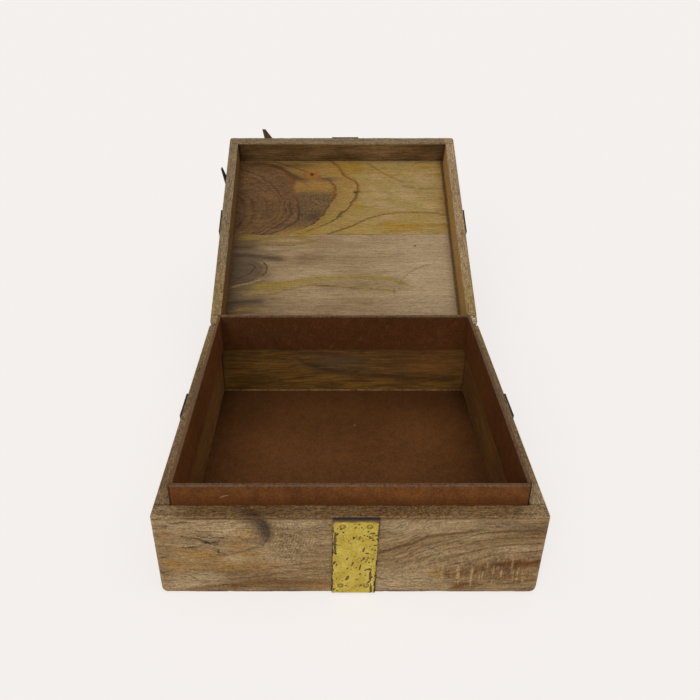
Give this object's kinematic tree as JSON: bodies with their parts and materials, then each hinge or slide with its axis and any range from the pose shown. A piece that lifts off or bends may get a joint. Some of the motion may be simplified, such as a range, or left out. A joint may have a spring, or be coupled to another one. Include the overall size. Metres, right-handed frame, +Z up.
{
  "type": "hinged wooden box",
  "caption": "Square wooden box with a hinged lid, hardboard strips standing proud round the inside and gilt metal ribbon that crosses the lid and is tied in a bow.",
  "frame": {"origin": "centre of the underside of the base, on the surface that it stands on", "axes": "+Z up, front wall towards -Y, hinges at +Y, +X to the right seen from the front; stored with the lid open on its stop"},
  "size_m": [0.2263, 0.4311, 0.1708],
  "materials": {
    "base_wood": "matte",
    "lid_wood": "matte",
    "hardboard": "matte",
    "gilt_sheet": "satin",
    "hinge_brass": "satin",
    "steel": "satin"
  },
  "bodies": {
    "base": {"base_back_strap": "gilt_sheet", "base_back_wall": "base_wood", "base_floor": "hardboard", "base_front_strap": "gilt_sheet", "base_front_wall": "base_wood", "base_hinge_screws": "steel", "base_left_strap": "gilt_sheet", "base_left_wall": "base_wood", "base_right_strap": "gilt_sheet", "base_right_wall": "base_wood", "base_strap_tacks": "steel", "floor_brads": "steel", "left_hinge_base_leaf": "hinge_brass", "left_hinge_pin": "steel", "liner_back": "hardboard", "liner_front": "hardboard", "liner_left": "hardboard", "liner_right": "hardboard", "right_hinge_base_leaf": "hinge_brass", "right_hinge_pin": "steel"},
    "lid": {"bow_front_tail": "gilt_sheet", "bow_knot": "gilt_sheet", "bow_left_loop": "gilt_sheet", "bow_left_tail": "gilt_sheet", "bow_right_loop": "gilt_sheet", "left_hinge_lid_leaf": "hinge_brass", "lid_back_board": "lid_wood", "lid_back_wall": "lid_wood", "lid_crosswise_strap": "gilt_sheet", "lid_front_board": "lid_wood", "lid_front_wall": "lid_wood", "lid_hinge_screws": "steel", "lid_left_wall": "lid_wood", "lid_lengthwise_strap": "gilt_sheet", "lid_right_wall": "lid_wood", "lid_strap_tacks": "steel", "right_hinge_lid_leaf": "hinge_brass"}
  },
  "joints": [
    {"name": "lid_hinge", "type": "hinge", "parent": "base", "child": "lid", "pos_m": [0, 0.111, 0.06005], "axis": [1, 0, 0], "range_deg": [0, 152]}
  ]
}
